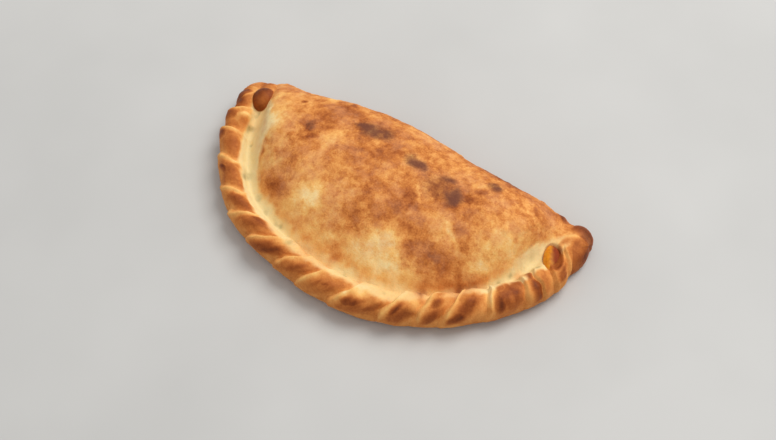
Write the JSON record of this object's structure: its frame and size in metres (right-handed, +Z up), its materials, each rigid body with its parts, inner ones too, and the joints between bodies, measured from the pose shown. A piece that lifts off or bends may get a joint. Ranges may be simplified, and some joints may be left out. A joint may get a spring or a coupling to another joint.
{
  "type": "calzone",
  "caption": "Baked folded pizza: a half-moon of browned dough, plump over its filling, with a twisted crimped rim round the front and a rounded fold at the back.",
  "frame": {"origin": "middle of the footprint's bounding box, on the flat underside", "axes": "+X along the fold from the left corner to the right corner, +Y towards the fold at the back, +Z up; the crimped rim faces -Y"},
  "size_m": [0.2912, 0.1568, 0.044],
  "materials": {
    "baked_crust": "baked dough: dry, matte, golden to brown with darker scorch marks and pale floury creases",
    "filling": "oily amber filling, wet and glossy"
  },
  "bodies": {
    "root": {"crust": "baked_crust", "filling_ooze": "filling"}
  },
  "joints": []
}
